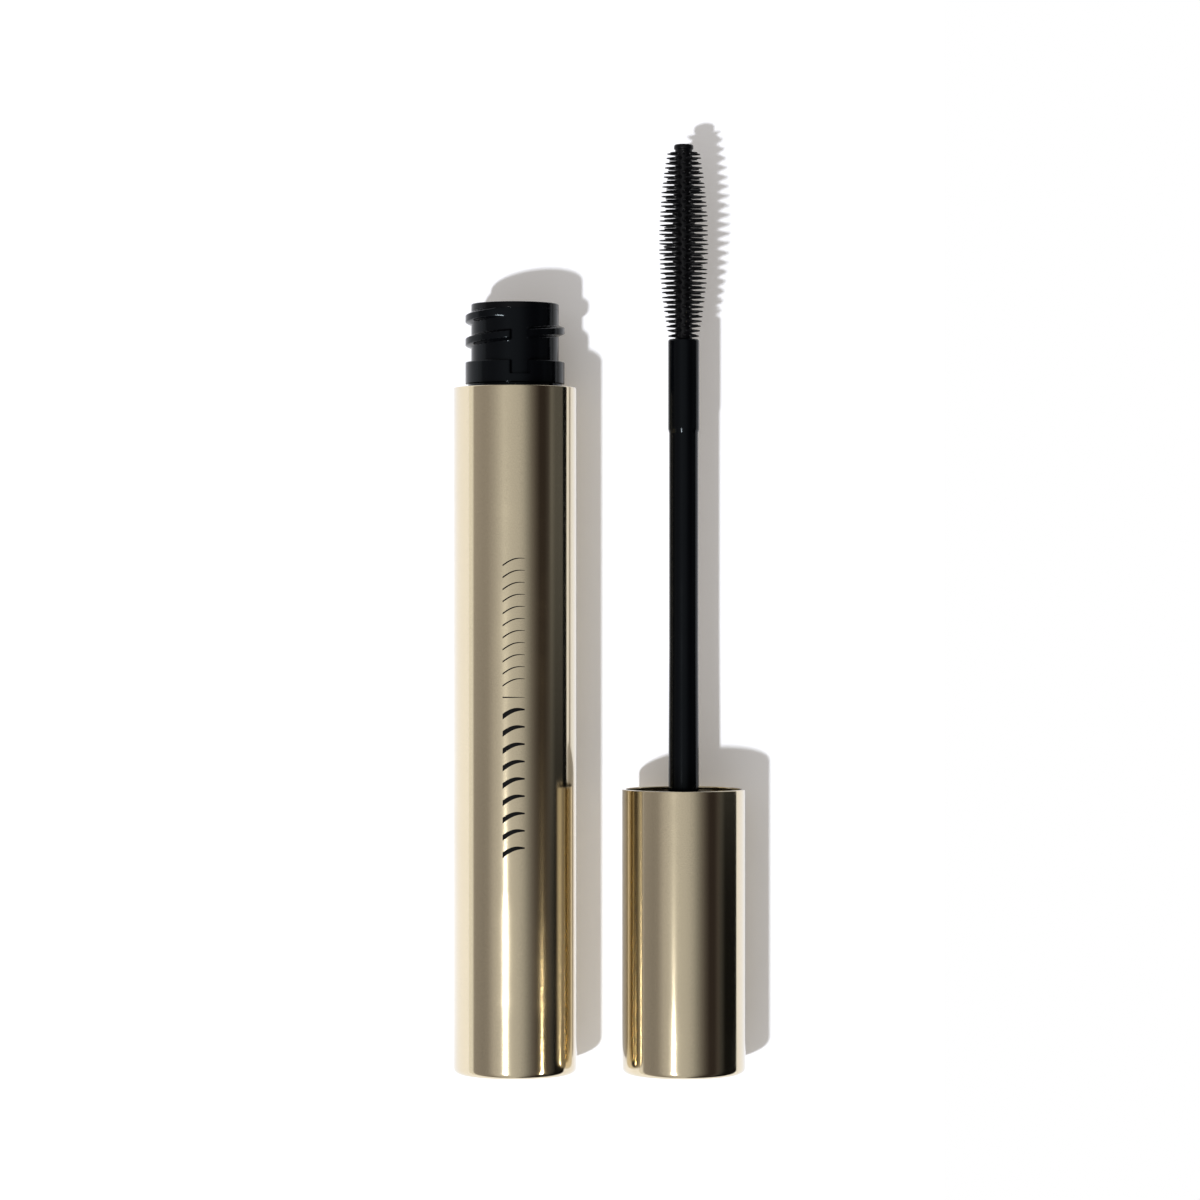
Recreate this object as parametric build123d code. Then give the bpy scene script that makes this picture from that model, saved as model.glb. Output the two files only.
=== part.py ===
from build123d import *
import os
from math import pi, sin

# A mascara lying on a table, taken apart: the tube on the left with its axis along +Y, and the
# wand beside it at +X with the cap's closed end level with the tube's base.
# Millimetres, +Z up from the table, origin on the tube's axis at its closed base.
# Every piece is drawn standing, with its closed or lower end down, and laid down at the end.

# Outer sizes
tube_diameter = 16.0
shell_length = 88.3        # metal tube, closed base to open rim
cap_length = 36.6          # metal cap, closed end to open rim
neck_height = 10.8         # wiper flange above the metal rim
wand_spacing = 21.75       # between the two axes as they lie
brush_length = 25.1        # rod's end to the brush's tip

# Metal shells
shell_wall = 0.5
shell_floor = 1.0
shell_edge = 0.75          # rounding of the closed ends
label_diameter = 12.0
label_thickness = 0.1
label_recess = 0.15
base_pad_height = 2.6

# Inner bottle
vial_gap = 0.2             # radial, vial to metal tube
vial_wall = 1.0
vial_floor = 1.0
shoulder_height = 3.0      # band that grips the metal tube's mouth
shoulder_drop = 0.25       # shoulder's top below the metal rim
collar_diameter = 12.8
collar_height = 3.3        # collar's top above the metal rim
groove_depth = 0.35        # groove under the collar, radial
groove_height = 0.45       # groove's top above the metal rim
neck_diameter = 11.3
neck_bore = 9.0
mouth_cone = 3.0           # length over which the bore opens into the vial

# Screw thread on the neck, and its partner in the cap
thread_diameter = 12.8
thread_pitch = 3.0
thread_turns = 1.46
thread_height = 6.6        # ridge's middle above the metal rim, at the front
thread_start = -180.0      # degrees round from the front where the ridge begins
thread_root = 1.5          # ridge's width at its foot
thread_crest = 0.8         # ridge's width at its top
thread_clearance = 0.2     # radial, between ridge and wall
ridge_overlap = 0.1        # how deep a ridge's foot sinks into its wall
closing_turns = 1.5
slot_width = 2.2           # channel down the thread, front and back
slot_angle = 7.0           # degrees round from the front
notch_depth = 1.7          # the channel's run into the collar's top

# Wiper
wiper_flange = 11.3
wiper_flange_height = 0.8
wiper_wall = 0.6
wiper_barrel = 6.5         # length of the straight part in the neck
wiper_cone = 5.0
wiper_lip = 0.9
wiper_clearance = 0.05     # lip to rod, radial

# Mascara
formula_height = 57.0
formula_clearance = 0.35   # paste to brush

# Inner cap
cap_gap = 0.15             # closed cap's rim above the metal tube's rim
skirt_recess = 0.5         # inner cap's rim inside the metal cap's rim
ceiling_thickness = 1.5
boss_diameter = 9.0
boss_depth = 8.6           # socket for the rod's head
boss_floor = 1.6
guide_thickness = 1.2      # disc that centres the boss in the metal cap
weight_thickness = 5.0
weight_bore = 4.0
weight_gap = 0.2           # radial, weight to metal cap
washer_thickness = 0.8
washer_bore = 6.4
washer_diameter = 11.0
face_gap = 0.05            # between pieces that turn or seat on each other

# Rod
head_diameter = 6.0
stem_diameter = 3.75
stem_root = 3.95           # diameter where the stem leaves the cap
stem_root_length = 18.0
ferrule_diameter = 4.0     # thicker end that holds the brush
ferrule_length = 11.6
ferrule_round = 0.7
rod_bore = 1.5

# Brush
shank_diameter = 2.6
shank_length = 8.0
core_diameter = 1.8
core_bore = 1.2
sleeve_diameter = 2.2
tip_diameter = 2.5
tip_thickness = 0.7
tip_room = 0.75            # shut brush's tip to the vial's floor
wire_diameter = 1.0
row_pitch = 0.617          # between neighbouring rows of tines
row_root = 0.32
row_edge = 0.12
rod_end_reach = 1.95       # tine length from the axis, beside the rod
middle_reach = 3.28        # at the brush's middle
tip_end_reach = 2.1        # beside the tip
brush_margin = 0.3         # bare core before the first row
hover_gap = 1.0            # brush tip to wiper when it is lined up with the neck
end_room = 1.2             # free length that the core wire keeps at each end

# Worked out from the sizes above, along the tube's axis
bore_radius = tube_diameter / 2 - shell_wall
rim = shell_length
neck_top = rim + neck_height - wiper_flange_height
wiper_top = rim + neck_height
vial_base = shell_floor + base_pad_height
vial_radius = bore_radius - vial_gap
skirt_bore = max(thread_diameter, collar_diameter) + 2 * thread_clearance
closed_end = shell_length + cap_gap + cap_length       # cap's closed end when shut
closed_tip = vial_base + vial_floor + tip_room
closing_advance = closing_turns * thread_pitch
insert_travel = wiper_top + hover_gap - closed_tip - closing_advance

# Worked out along the wand's axis, from the cap's closed end
wand_length = closed_end - closed_tip
rod_end = wand_length - brush_length
washer_face = closed_end - wiper_top - face_gap        # side that meets the wiper
ceiling = washer_face - washer_thickness - face_gap
socket_floor = ceiling - boss_depth
boss_end = socket_floor - boss_floor
tines_from = rod_end + brush_margin
tines_to = wand_length - tip_thickness
wire_length = cap_length + cap_gap - neck_height - hover_gap - tip_thickness - shell_floor - 2 * end_room

lay_down = Rot(-90, 0, 0)
wand_place = Pos(wand_spacing, 0, 0) * lay_down


def turned(points):
    outline = make_face(Plane.XZ * Polyline(*points, close=True))
    return revolve(outline, axis=Axis.Z)


def bar(diameter, low, high):
    return Pos(0, 0, low) * Cylinder(diameter / 2, high - low, align=(Align.CENTER, Align.CENTER, Align.MIN))


def ring(outer, inner, low, high):
    return bar(outer, low, high) - bar(inner, low, high)


def drawn_cup(length):
    outer = tube_diameter / 2
    cup = turned([
        (0, 0), (outer, 0), (outer, length),
        (bore_radius, length), (bore_radius, shell_floor), (0, shell_floor),
    ])
    return fillet(cup.edges().group_by(Axis.Z)[0], min(shell_edge, 0.9 * shell_floor))


def screw_ridge(foot, crest, turns):
    out = 1 if crest > foot else -1
    foot = foot - out * ridge_overlap
    helix = Helix(pitch=thread_pitch, height=thread_pitch * turns, radius=foot)
    height = abs(crest - foot)
    section = Plane(origin=helix @ 0, x_dir=(out, 0, 0), z_dir=helix % 0) * make_face(Polyline(
        (0, -thread_root / 2), (height, -thread_crest / 2),
        (height, thread_crest / 2), (0, thread_root / 2), close=True,
    ))
    return sweep(section, path=helix, is_frenet=True)


def outer_shell():
    return drawn_cup(shell_length) - bar(label_diameter, 0, label_recess)


def base_label():
    return bar(label_diameter - 0.2, label_recess - label_thickness, label_recess)


def base_pad():
    return bar(2 * bore_radius - 0.4, shell_floor, vial_base)


def bottle_wall():
    shoulder = rim - shoulder_drop
    groove = collar_diameter / 2 - groove_depth
    inside = vial_radius - vial_wall
    throat = rim - shoulder_height + vial_wall
    return turned([
        (0, vial_base), (vial_radius, vial_base), (vial_radius, rim - shoulder_height),
        (bore_radius, rim - shoulder_height), (bore_radius, shoulder), (groove, shoulder),
        (groove, rim + groove_height), (collar_diameter / 2, rim + groove_height),
        (collar_diameter / 2, rim + collar_height), (neck_diameter / 2, rim + collar_height),
        (neck_diameter / 2, neck_top), (neck_bore / 2, neck_top),
        (neck_bore / 2, throat), (inside, throat - mouth_cone),
        (inside, vial_base + vial_floor), (0, vial_base + vial_floor),
    ])


def neck_thread():
    ridge = screw_ridge(neck_diameter / 2, thread_diameter / 2, thread_turns)
    low = rim + thread_height + thread_pitch * thread_start / 360
    return Pos(0, 0, low) * Rot(0, 0, thread_start - 90) * ridge - bar(tube_diameter, neck_top, closed_end)


def neck_slot(degrees):
    deep = neck_diameter / 2
    low = rim + collar_height - notch_depth
    block = Box(tube_diameter, slot_width, neck_top - low, align=(Align.MIN, Align.CENTER, Align.MIN))
    return Pos(0, 0, low) * Rot(0, 0, degrees - 90) * Pos(deep * 0.9, 0, 0) * block - bar(2 * deep, low, neck_top)


def inner_bottle():
    bottle = bottle_wall() + neck_thread()
    return bottle - neck_slot(slot_angle) - neck_slot(slot_angle + 180)


def wiper():
    lip = ferrule_diameter / 2 + wiper_clearance
    barrel = neck_bore / 2
    cone_top = neck_top - wiper_barrel
    cone_end = cone_top - wiper_cone
    return turned([
        (barrel - wiper_wall, wiper_top), (wiper_flange / 2, wiper_top), (wiper_flange / 2, neck_top),
        (barrel, neck_top), (barrel, cone_top), (lip + wiper_wall, cone_end),
        (lip + wiper_wall, cone_end - wiper_lip), (lip, cone_end - wiper_lip),
        (lip, cone_end), (barrel - wiper_wall, cone_top),
    ])


def mascara_formula():
    outer = 2 * (vial_radius - vial_wall)
    low = vial_base + vial_floor
    cavity = 2 * (middle_reach + formula_clearance)
    return bar(outer, low, low + formula_height) - bar(cavity, closed_tip - formula_clearance, wiper_top)


def cap_shell():
    return drawn_cup(cap_length)


def cap_weight():
    high = boss_end - face_gap
    return ring(2 * (bore_radius - weight_gap), weight_bore, high - weight_thickness, high)


def inner_cap():
    skirt = skirt_bore / 2
    boss = boss_diameter / 2
    socket = head_diameter / 2
    hole = rod_bore / 2
    skirt_end = cap_length - skirt_recess
    body = turned([
        (hole, boss_end), (bore_radius, boss_end), (bore_radius, boss_end + guide_thickness),
        (boss, boss_end + guide_thickness), (boss, ceiling - ceiling_thickness),
        (bore_radius, ceiling - ceiling_thickness), (bore_radius, skirt_end), (skirt, skirt_end),
        (skirt, ceiling), (socket, ceiling), (socket, socket_floor), (hole, socket_floor),
    ])
    return body + cap_thread()


def cap_thread():
    crest = neck_diameter / 2 + thread_clearance
    turns = thread_turns
    front_height = closed_end - rim - thread_height - thread_pitch / 2   # neck's groove when shut
    ridge = screw_ridge(skirt_bore / 2, crest, turns)
    low = front_height + thread_pitch * thread_start / 360
    return Pos(0, 0, low) * Rot(0, 0, thread_start + 90) * ridge


def seal_washer():
    return ring(washer_diameter, washer_bore, washer_face - washer_thickness, washer_face)


def rod():
    head = head_diameter / 2
    hole = rod_bore / 2
    stem = stem_diameter / 2
    end = ferrule_diameter / 2
    socket = shank_diameter / 2
    taper_end = cap_length + stem_root_length
    ferrule = rod_end - ferrule_length
    outline = turned([
        (hole, socket_floor), (head, socket_floor), (head, ceiling), (stem_root / 2, ceiling),
        (stem_root / 2, cap_length), (stem, taper_end), (stem, ferrule - 0.4), (end, ferrule),
        (end, rod_end), (socket, rod_end), (socket, rod_end - shank_length), (hole, rod_end - shank_length),
    ])
    shoulder = outline.edges().group_by(Axis.Z)[-1].sort_by(SortBy.RADIUS)[-1]
    return fillet(shoulder, min(ferrule_round, end - socket - 0.05))


def brush_core():
    shank = shank_diameter / 2
    core = core_diameter / 2
    bore = core_bore / 2
    tip = tip_diameter / 2
    body = turned([
        (bore, rod_end - shank_length), (shank, rod_end - shank_length), (shank, rod_end),
        (core, rod_end), (core, tines_to), (tip, tines_to), (tip, wand_length),
        (0, wand_length), (0, tines_to), (bore, tines_to),
    ])
    edge = body.edges().group_by(Axis.Z)[-1]
    return fillet(edge, tip_thickness * 0.7)


def reach_at(share):
    ends = rod_end_reach + (tip_end_reach - rod_end_reach) * share
    swell = middle_reach - (rod_end_reach + tip_end_reach) / 2
    return ends + swell * sin(pi * share) ** 0.8


def brush_tines():
    sleeve = sleeve_diameter / 2
    rows = int((tines_to - tines_from - row_root) / row_pitch)
    points = [(core_diameter / 2, tines_from), (sleeve, tines_from)]
    for row in range(rows):
        middle = tines_from + (row + 0.5) * row_pitch
        reach = reach_at((row + 0.5) / rows)
        points += [
            (sleeve, middle - row_root / 2), (reach, middle - row_edge / 2),
            (reach, middle + row_edge / 2), (sleeve, middle + row_root / 2),
        ]
    points += [(sleeve, tines_to), (core_diameter / 2, tines_to)]
    return turned(points)


def core_wire():
    high = tines_to - end_room
    return bar(wire_diameter, high - wire_length, high)


tube_pieces = [outer_shell, base_label, base_pad, inner_bottle, wiper, mascara_formula]
wand_pieces = [
    cap_shell, cap_weight, inner_cap, seal_washer, rod, brush_core, brush_tines, core_wire,
]

os.makedirs("parts", exist_ok=True)
for place, pieces in ((lay_down, tube_pieces), (wand_place, wand_pieces)):
    for piece in pieces:
        export_step(place * piece(), f"parts/{piece.__name__}.step")

print("turn-over axis, y:", (wand_length + wiper_top + hover_gap) / 2)
print("insert travel:", insert_travel, "closing advance:", closing_advance)
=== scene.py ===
import math
import bmesh
import bpy
from mathutils import Matrix, Vector


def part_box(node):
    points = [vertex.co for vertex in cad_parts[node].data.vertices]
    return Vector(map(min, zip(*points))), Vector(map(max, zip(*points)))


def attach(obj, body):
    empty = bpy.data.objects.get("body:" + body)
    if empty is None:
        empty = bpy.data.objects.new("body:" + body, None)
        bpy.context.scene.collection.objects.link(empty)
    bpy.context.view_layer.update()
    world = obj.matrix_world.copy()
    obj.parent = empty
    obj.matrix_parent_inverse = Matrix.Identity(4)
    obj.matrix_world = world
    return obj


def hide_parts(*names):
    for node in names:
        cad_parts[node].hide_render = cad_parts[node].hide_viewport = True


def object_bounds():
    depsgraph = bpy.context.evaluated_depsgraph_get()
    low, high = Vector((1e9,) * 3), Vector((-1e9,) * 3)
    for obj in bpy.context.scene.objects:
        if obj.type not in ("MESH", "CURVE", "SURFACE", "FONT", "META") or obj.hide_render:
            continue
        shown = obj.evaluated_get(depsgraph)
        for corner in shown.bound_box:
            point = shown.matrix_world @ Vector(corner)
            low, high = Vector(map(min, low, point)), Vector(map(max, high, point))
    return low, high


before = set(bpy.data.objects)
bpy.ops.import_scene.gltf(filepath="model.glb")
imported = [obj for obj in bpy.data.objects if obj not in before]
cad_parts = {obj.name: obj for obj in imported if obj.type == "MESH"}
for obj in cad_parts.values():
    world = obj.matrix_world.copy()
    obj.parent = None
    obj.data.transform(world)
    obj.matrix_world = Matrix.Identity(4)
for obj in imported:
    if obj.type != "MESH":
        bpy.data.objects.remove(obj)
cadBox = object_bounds()
mm = 0.001

# where the frame puts things
tubeLow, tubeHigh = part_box("outer_shell")
capLow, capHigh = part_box("cap_shell")
bottleLow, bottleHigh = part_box("inner_bottle")
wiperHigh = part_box("wiper")[1]
rodLow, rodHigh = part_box("rod")
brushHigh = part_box("brush_core")[1]
tubeX = 0.0
tubeRadius = (tubeHigh[0] - tubeLow[0]) / 2 / mm
tubeLength = tubeHigh[1] / mm
capLength = capHigh[1] / mm
wandX = (capLow[0] + capHigh[0]) / 2
print("frame loaded, tube", round(tubeRadius * 2, 2), "by", round(tubeLength, 2), "mm")


def newGroup(name, inputs, outputs):
    # a shader group whose sockets are all plain values
    group = bpy.data.node_groups.new(name, "ShaderNodeTree")
    for label, value in inputs.items():
        socket = group.interface.new_socket(name=label, in_out="INPUT", socket_type="NodeSocketFloat")
        socket.default_value = value
    for label in outputs:
        group.interface.new_socket(name=label, in_out="OUTPUT", socket_type="NodeSocketFloat")
    return group, group.nodes.new("NodeGroupInput"), group.nodes.new("NodeGroupOutput")


def addNode(tree, kind, **settings):
    node = tree.nodes.new(kind)
    for key, value in settings.items():
        if key in node.inputs:
            node.inputs[key].default_value = value
        else:
            setattr(node, key, value)
    return node


def mathNode(tree, operation, first, second=None):
    node = tree.nodes.new("ShaderNodeMath")
    node.operation = operation
    for slot, value in enumerate((first, second)):
        if value is None:
            continue
        if isinstance(value, (int, float)):
            node.inputs[slot].default_value = value
        else:
            tree.links.new(value, node.inputs[slot])
    return node.outputs[0]


def mixColor(tree, factor, first, second):
    node = tree.nodes.new("ShaderNodeMix")
    node.data_type = "RGBA"
    for slot, value in ((0, factor), (6, first), (7, second)):
        if isinstance(value, bpy.types.NodeSocket):
            tree.links.new(value, node.inputs[slot])
        else:
            node.inputs[slot].default_value = value
    return node.outputs[2]


def makeGrainGroup():
    # fine grain, a value around 0.5, and a slow drift in tone; Along below 1 draws both out along the axis
    inputs = {"Grain Scale": 3000.0, "Drift Scale": 60.0, "Along": 1.0}
    group, given, result = newGroup("fineGrain", inputs, ["Grain", "Drift"])
    place = addNode(group, "ShaderNodeTexCoord")
    parts = addNode(group, "ShaderNodeSeparateXYZ")
    joined = addNode(group, "ShaderNodeCombineXYZ")
    group.links.new(place.outputs["Object"], parts.inputs[0])
    group.links.new(parts.outputs[0], joined.inputs[0])
    group.links.new(mathNode(group, "MULTIPLY", parts.outputs[1], given.outputs["Along"]), joined.inputs[1])
    group.links.new(parts.outputs[2], joined.inputs[2])
    grain = addNode(group, "ShaderNodeTexNoise", Detail=2.0, Roughness=0.6)
    drift = addNode(group, "ShaderNodeTexNoise", Detail=3.0, Roughness=0.5)
    for noise, scale in ((grain, "Grain Scale"), (drift, "Drift Scale")):
        group.links.new(joined.outputs[0], noise.inputs["Vector"])
        group.links.new(given.outputs[scale], noise.inputs["Scale"])
    group.links.new(grain.outputs["Fac"], result.inputs["Grain"])
    group.links.new(drift.outputs["Fac"], result.inputs["Drift"])
    return group


handlingLook = {
    "smudgeScale": 90.0, "smudgeFrom": 0.5, "smudgeGain": 4.0, "smudgeRoughness": 0.12, "smudgeDulling": 0.5,
    "scratchTurn": (0.3, 0.2, 0.5), "scratchStretch": (900.0, 35.0, 900.0),
    "scratchFrom": 0.72, "scratchGain": 14.0, "scratchRoughness": 0.2,
}


def makeHandlingGroup():
    # faint smudges from handling, and sparse short hairline scratches
    look = handlingLook
    inputs = {"Smudge Amount": 0.3, "Scratch Amount": 0.3}
    group, given, result = newGroup("handlingMarks", inputs, ["Smudge", "Scratch"])
    place = addNode(group, "ShaderNodeTexCoord")
    smudge = addNode(
        group, "ShaderNodeTexNoise", Scale=look["smudgeScale"], Detail=4.0, Roughness=0.55, Distortion=0.8)
    group.links.new(place.outputs["Object"], smudge.inputs["Vector"])
    cut = mathNode(group, "SUBTRACT", smudge.outputs["Fac"], look["smudgeFrom"])
    soft = mathNode(group, "MAXIMUM", mathNode(group, "MULTIPLY", cut, look["smudgeGain"]), 0.0)
    smudges = mathNode(group, "MULTIPLY", soft, given.outputs["Smudge Amount"])
    group.links.new(smudges, result.inputs["Smudge"])
    turned = addNode(group, "ShaderNodeMapping")
    turned.inputs["Rotation"].default_value = look["scratchTurn"]
    turned.inputs["Scale"].default_value = look["scratchStretch"]
    group.links.new(place.outputs["Object"], turned.inputs["Vector"])
    lines = addNode(group, "ShaderNodeTexNoise", Scale=1.0, Detail=1.0)
    group.links.new(turned.outputs[0], lines.inputs["Vector"])
    above = mathNode(group, "SUBTRACT", lines.outputs["Fac"], look["scratchFrom"])
    thin = mathNode(group, "MULTIPLY", above, look["scratchGain"])
    clipped = mathNode(group, "MINIMUM", mathNode(group, "MAXIMUM", thin, 0.0), 1.0)
    scratches = mathNode(group, "MULTIPLY", clipped, given.outputs["Scratch Amount"])
    group.links.new(scratches, result.inputs["Scratch"])
    return group


grainGroup = makeGrainGroup()
handlingGroup = makeHandlingGroup()
coatRoughness = 0.1


def makeMaterial(name, look):
    # one opaque finish: colour drift, roughness with smudges and scratches, and a fine bump
    material = bpy.data.materials.new(name)
    material.use_nodes = True
    tree = material.node_tree
    shader = tree.nodes["Principled BSDF"]
    shader.inputs["Metallic"].default_value = look.get("metallic", 0.0)
    shader.inputs["IOR"].default_value = look.get("ior", 1.5)
    shader.inputs["Coat Roughness"].default_value = coatRoughness
    shader.inputs["Specular Tint"].default_value = (*look.get("edgeTint", (1, 1, 1)), 1)
    grain = addNode(tree, "ShaderNodeGroup", node_tree=grainGroup)
    grain.inputs["Grain Scale"].default_value = look["grainScale"]
    grain.inputs["Drift Scale"].default_value = look["driftScale"]
    grain.inputs["Along"].default_value = look.get("along", 1.0)
    marks = addNode(tree, "ShaderNodeGroup", node_tree=handlingGroup)
    marks.inputs["Smudge Amount"].default_value = look["smudge"]
    marks.inputs["Scratch Amount"].default_value = look["scratch"]
    tone = mixColor(tree, grain.outputs["Drift"], (*look["colorA"], 1), (*look["colorB"], 1))
    level = mathNode(tree, "SUBTRACT", grain.outputs["Grain"], 0.5)
    speck = mathNode(tree, "MULTIPLY", level, look["speckle"])
    bright = mathNode(tree, "ADD", speck, 1.0)
    spread = addNode(tree, "ShaderNodeVectorMath", operation="SCALE")
    tree.links.new(tone, spread.inputs[0])
    tree.links.new(bright, spread.inputs["Scale"])
    tree.links.new(spread.outputs[0], shader.inputs["Base Color"])
    drifted = mathNode(tree, "MULTIPLY", grain.outputs["Drift"], look["roughDrift"])
    rough = mathNode(tree, "ADD", drifted, look["roughness"] - look["roughDrift"] / 2)
    for mark in ("Smudge", "Scratch"):
        worn = mathNode(tree, "MULTIPLY", marks.outputs[mark], handlingLook[mark.lower() + "Roughness"])
        rough = mathNode(tree, "ADD", rough, worn)
    tree.links.new(rough, shader.inputs["Roughness"])
    if look.get("coat"):
        dulled = mathNode(tree, "MULTIPLY", marks.outputs["Smudge"], handlingLook["smudgeDulling"])
        coat = mathNode(tree, "SUBTRACT", look["coat"], dulled)
        tree.links.new(coat, shader.inputs["Coat Weight"])
    bump = addNode(tree, "ShaderNodeBump", Strength=look["bump"], Distance=look.get("bumpDepth", 0.00002))
    tree.links.new(grain.outputs["Grain"], bump.inputs["Height"])
    tree.links.new(bump.outputs[0], shader.inputs["Normal"])
    return material


finishes = {
    "champagneAnodised": dict(
        metallic=1.0, colorA=(0.67, 0.575, 0.395), colorB=(0.71, 0.61, 0.42), roughness=0.10, roughDrift=0.03,
        grainScale=9000, driftScale=45, speckle=0.45, coat=0.9, smudge=0.3, scratch=0.1,
        bump=0.08, bumpDepth=0.00001, edgeTint=(0.86, 0.9, 1.0)),
    "glossBlack": dict(
        colorA=(0.0012, 0.0015, 0.002), colorB=(0.002, 0.0022, 0.003), roughness=0.12, roughDrift=0.05,
        grainScale=2600, driftScale=120, speckle=0.3, smudge=0.4, scratch=0.2, bump=0.06,
        ior=1.21, edgeTint=(0.8, 0.92, 1.0)),
    "satinBlack": dict(
        colorA=(0.0015, 0.0016, 0.002), colorB=(0.003, 0.003, 0.004), roughness=0.32, roughDrift=0.1,
        grainScale=2400, driftScale=160, speckle=0.4, smudge=0.3, scratch=0.1, bump=0.2, ior=1.22),
    "tineRubber": dict(
        colorA=(0.002, 0.002, 0.0026), colorB=(0.005, 0.005, 0.006), roughness=0.36, roughDrift=0.12,
        grainScale=4000, driftScale=500, speckle=0.4, smudge=0.2, scratch=0.0, bump=0.15, ior=1.3),
    "wiperRubber": dict(
        colorA=(0.0012, 0.0015, 0.002), colorB=(0.002, 0.0022, 0.003), roughness=0.14, roughDrift=0.06,
        grainScale=2600, driftScale=200, speckle=0.3, smudge=0.4, scratch=0.0, bump=0.06, ior=1.21),
    "mascaraPaste": dict(
        colorA=(0.002, 0.002, 0.003), colorB=(0.006, 0.006, 0.007), roughness=0.3, roughDrift=0.2,
        grainScale=700, driftScale=220, speckle=0.2, smudge=0.6, scratch=0.0, bump=0.5, coat=0.6),
    "turnedSteel": dict(
        metallic=1.0, colorA=(0.50, 0.50, 0.51), colorB=(0.58, 0.58, 0.58), roughness=0.3, roughDrift=0.08,
        grainScale=3000, driftScale=150, along=0.05, speckle=0.25, smudge=0.2, scratch=0.4, bump=0.3),
    "foamGrey": dict(
        colorA=(0.58, 0.58, 0.56), colorB=(0.68, 0.68, 0.66), roughness=0.8, roughDrift=0.1,
        grainScale=2500, driftScale=300, speckle=0.3, smudge=0.1, scratch=0.0, bump=0.6, bumpDepth=0.00008),
    "labelFilm": dict(
        colorA=(0.80, 0.79, 0.76), colorB=(0.84, 0.83, 0.80), roughness=0.4, roughDrift=0.06,
        grainScale=2000, driftScale=200, speckle=0.05, smudge=0.2, scratch=0.05, bump=0.1),
    "printBlack": dict(
        colorA=(0.002, 0.002, 0.002), colorB=(0.004, 0.004, 0.004), roughness=0.5, roughDrift=0.08,
        grainScale=5000, driftScale=300, speckle=0.2, smudge=0.2, scratch=0.1, bump=0.1, ior=1.12),
}
materials = {name: makeMaterial(name, look) for name, look in finishes.items()}
print("materials made:", len(materials))


def finishMesh(name, mesh, material, sharpAngle=35):
    piece = bpy.data.objects.new(name, mesh)
    bpy.context.scene.collection.objects.link(piece)
    mesh.materials.clear()
    mesh.materials.append(materials[material])
    mesh.shade_smooth()
    mesh.set_sharp_from_angle(angle=math.radians(sharpAngle))
    return piece


def rounded(corners, steps=5, hold=0.35, widest=0.45):
    # corners are (radius, along, fillet); each fillet is an arc with a support point beyond each end,
    # and takes no more than the widest share of an edge
    outline = []
    count = len(corners)
    for index, (r, y, fillet) in enumerate(corners):
        here = Vector((r, y))
        if fillet <= 0:
            outline.append((r, y))
            continue
        back = Vector(corners[index - 1][:2]) - here
        ahead = Vector(corners[(index + 1) % count][:2]) - here
        half = back.angle(ahead) / 2
        reach = min(fillet / math.tan(half), back.length * widest, ahead.length * widest)
        radius = reach * math.tan(half)
        middle = here + (back.normalized() + ahead.normalized()).normalized() * (radius / math.sin(half))
        first = here + back.normalized() * reach
        last = here + ahead.normalized() * reach
        sweepAngle = (first - middle).angle_signed(last - middle)
        outline.append(tuple(here + back.normalized() * min(reach * (1 + hold), back.length * 0.5)))
        for step in range(steps + 1):
            arm = first - middle
            turn = -sweepAngle * step / steps
            sine, cosine = math.sin(turn), math.cos(turn)
            arm = Vector((arm.x * cosine - arm.y * sine, arm.x * sine + arm.y * cosine))
            outline.append(tuple(middle + arm))
        outline.append(tuple(here + ahead.normalized() * min(reach * (1 + hold), ahead.length * 0.5)))
    return outline


def spinMesh(name, outline, axisX, segments, radiusAt):
    # turns a closed outline of (radius, along) in millimetres about an axis along Y
    form = bmesh.new()
    rings = []
    for r, y in outline:
        if r < 1e-6:
            rings.append([form.verts.new((axisX, y * mm, 0))])
            continue
        ring = []
        for step in range(segments):
            angle = 2 * math.pi * step / segments
            far = (radiusAt(angle, y, r) if radiusAt else r) * mm
            ring.append(form.verts.new((axisX + far * math.sin(angle), y * mm, far * math.cos(angle))))
        rings.append(ring)
    for row in range(len(rings)):
        one, two = rings[row], rings[(row + 1) % len(rings)]
        if len(one) == 1 and len(two) == 1:
            continue
        for step in range(segments):
            after = (step + 1) % segments
            corners = [one[step % len(one)], one[after % len(one)]]
            corners += [two[after % len(two)], two[step % len(two)]]
            form.faces.new(list(dict.fromkeys(corners)))
    bmesh.ops.recalc_face_normals(form, faces=form.faces)
    mesh = bpy.data.meshes.new(name)
    form.to_mesh(mesh)
    form.free()
    return mesh


def spun(name, outline, axisX, material, body, replaced, segments, radiusAt=None):
    # a turned piece that rides its body and stands in for the replaced CAD nodes
    piece = finishMesh(name, spinMesh(name, outline, axisX, segments, radiusAt), material)
    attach(piece, body)
    if replaced:
        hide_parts(*replaced)


shellLook = {
    "wall": 0.5, "floor": 1.0, "endRound": 0.75, "rimRound": 0.12, "insideRound": 0.2,
    "labelRadius": 6.0, "labelRecess": 0.15, "recessRound": 0.05,
}


def makeShells():
    look = shellLook
    inside = tubeRadius - look["wall"]
    for name, node, body, axisX, length in (
        ("tubeShell", "outer_shell", "bottle", tubeX, tubeLength),
        ("capShell", "cap_shell", "wand", wandX, capLength),
    ):
        corners = [
            (0, 0, 0), (tubeRadius, 0, look["endRound"]),
            (tubeRadius, length, look["rimRound"]), (inside, length, look["rimRound"]),
            (inside, look["floor"], look["insideRound"]), (0, look["floor"], 0),
        ]
        if node == "outer_shell":
            recess, edge = look["labelRecess"], look["labelRadius"]
            corners[0:1] = [(0, recess, 0), (edge, recess, 0), (edge, 0, look["recessRound"])]
        spun(name, rounded(corners), axisX, "champagneAnodised", body, [node], segments=224)
    print("metal shells made")


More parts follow.
